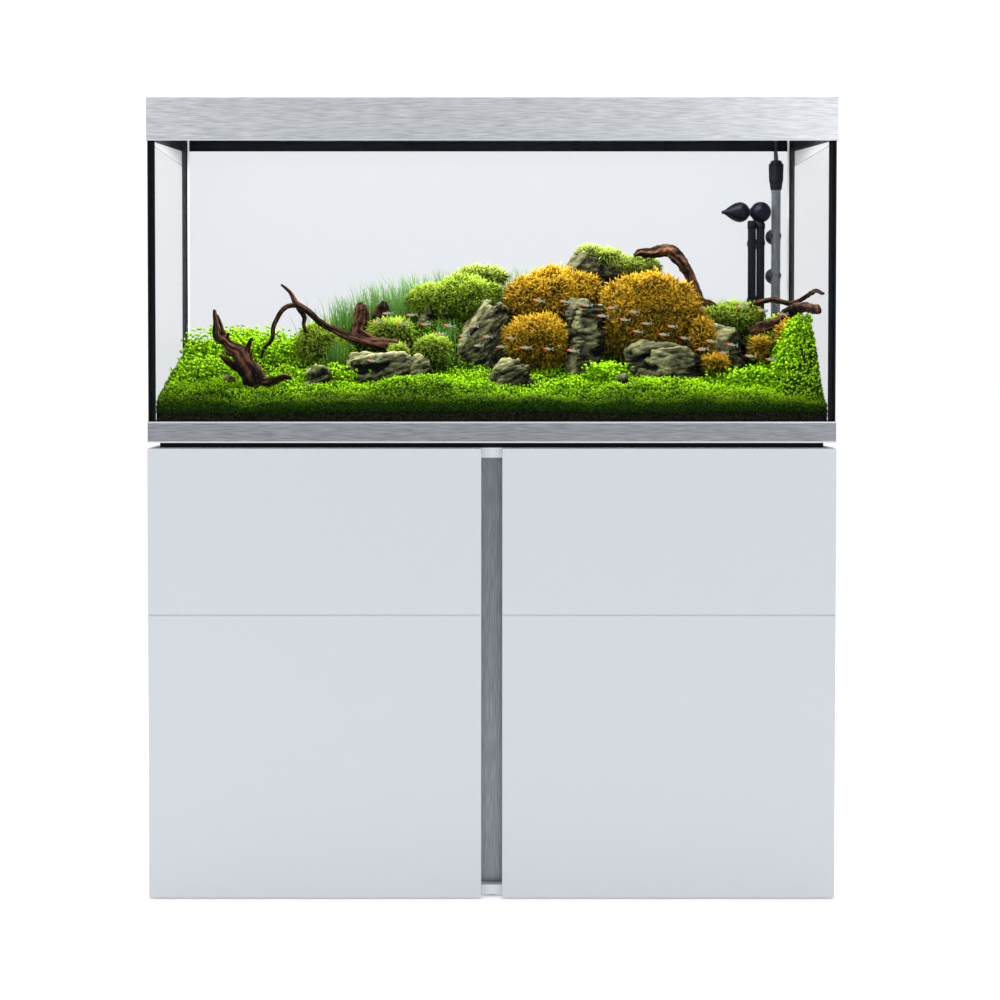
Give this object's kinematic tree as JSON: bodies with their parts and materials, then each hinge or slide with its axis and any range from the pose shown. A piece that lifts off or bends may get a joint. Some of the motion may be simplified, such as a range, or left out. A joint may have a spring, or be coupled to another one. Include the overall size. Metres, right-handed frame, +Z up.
{
  "type": "aquarium on stand",
  "caption": "Planted glass aquarium with an aluminium-trimmed hood on a white cabinet with two doors and a recessed centre grip.",
  "frame": {"origin": "on the floor under the middle of the object", "axes": "+Z up, +X to the right as seen from the front, +Y from the front to the back"},
  "size_m": [1.3, 0.6042, 1.516],
  "materials": {
    "cabinet_white": "satin lacquer on board",
    "door_white": "gloss lacquer",
    "grip_aluminium": "brushed",
    "trim_aluminium": "brushed",
    "steel": "plain",
    "black_plastic": "matt",
    "flap_grey": "satin",
    "clear_glass": "polished float glass",
    "silicone": "cured silicone",
    "light_white": "opal",
    "heater_glass": "tube glass",
    "heater_grey": "moulded",
    "cord_black": "sheathed lead",
    "cup_rubber": "soft",
    "filter_black": "moulded",
    "filter_grey": "moulded",
    "soil": "grains",
    "plants_green": "leaves",
    "stone_grey": "layered",
    "moss": "moss",
    "root_wood": "wet root",
    "fish_skin": "scales"
  },
  "bodies": {
    "aquarium": {"levelling_feet": "black_plastic", "bottom_panel": "cabinet_white", "top_panel": "cabinet_white", "left_side_panel": "cabinet_white", "right_side_panel": "cabinet_white", "centre_partition": "cabinet_white", "back_panel": "cabinet_white", "back_panel_screws": "steel", "grip_channel": "grip_aluminium", "shelf": "cabinet_white", "shelf_pins": "steel", "hinge_arms": "steel", "plinth": "black_plastic", "base_tray": "black_plastic", "base_trim": "trim_aluminium", "bottom_glass": "clear_glass", "front_glass": "clear_glass", "back_glass": "clear_glass", "left_glass": "clear_glass", "right_glass": "clear_glass", "silicone_seams": "silicone", "glass_braces": "clear_glass", "hood_frame": "black_plastic", "hood_skirts": "black_plastic", "hood_fascia": "trim_aluminium", "rear_cover": "flap_grey", "flap_pins": "steel", "light_tubes": "light_white", "light_holders": "black_plastic", "heater_tube": "heater_glass", "heater_core": "steel", "heater_cap": "heater_grey", "heater_gland": "cord_black", "suction_clips": "cup_rubber", "heater_cord": "cord_black", "heater_cord_coil": "cord_black", "heater_plug": "cord_black", "pipe_bulkhead": "filter_black", "intake_pipe": "filter_black", "outlet_pipe": "filter_black", "filter_canister": "filter_grey", "filter_baskets": "filter_grey", "filter_head": "filter_black", "soil_bed": "soil", "carpet_plants": "plants_green", "rocks": "stone_grey", "moss": "moss", "driftwood": "root_wood", "tall_grass": "plants_green", "fish": "fish_skin"},
    "left_door": {"left_door": "door_white", "left_door_fittings": "steel"},
    "right_door": {"right_door": "door_white", "right_door_fittings": "steel"},
    "left_flap": {"left_flap": "flap_grey"},
    "right_flap": {"right_flap": "flap_grey"},
    "heater_dial": {"heater_dial": "heater_grey"},
    "outlet_link": {"outlet_link": "filter_black"},
    "outlet_nozzle": {"outlet_nozzle": "filter_black"},
    "filter_handle": {"filter_handle": "filter_black"}
  },
  "joints": [
    {"name": "left_door_hinge", "type": "hinge", "parent": "aquarium", "child": "left_door", "pos_m": [-0.65, -0.23, 0.43], "axis": [0, 0, -1], "range_deg": [0, 110]},
    {"name": "right_door_hinge", "type": "hinge", "parent": "aquarium", "child": "right_door", "pos_m": [0.65, -0.23, 0.43], "axis": [0, 0, 1], "range_deg": [0, 110]},
    {"name": "left_flap_hinge", "type": "hinge", "parent": "aquarium", "child": "left_flap", "pos_m": [-0.32, -0.038, 1.511], "axis": [-1, 0, 0], "range_deg": [0, 105]},
    {"name": "right_flap_hinge", "type": "hinge", "parent": "aquarium", "child": "right_flap", "pos_m": [0.32, -0.038, 1.511], "axis": [-1, 0, 0], "range_deg": [0, 105]},
    {"name": "heater_dial_turn", "type": "hinge", "parent": "aquarium", "child": "heater_dial", "pos_m": [0.603, 0.183, 1.425], "axis": [0, 0, 1], "range_deg": [0, 270]},
    {"name": "outlet_swing", "type": "hinge", "parent": "aquarium", "child": "outlet_link", "pos_m": [0.5695, 0.175, 1.334], "axis": [0, 0, 1], "range_deg": [-15, 60]},
    {"name": "outlet_tilt", "type": "hinge", "parent": "outlet_link", "child": "outlet_nozzle", "pos_m": [0.5255, 0.175, 1.334], "axis": [0, 1, 0], "range_deg": [-30, 30]},
    {"name": "filter_handle_turn", "type": "hinge", "parent": "aquarium", "child": "filter_handle", "pos_m": [0.33, 0.02, 0.318], "axis": [-1, 0, 0], "range_deg": [0, 90]}
  ]
}
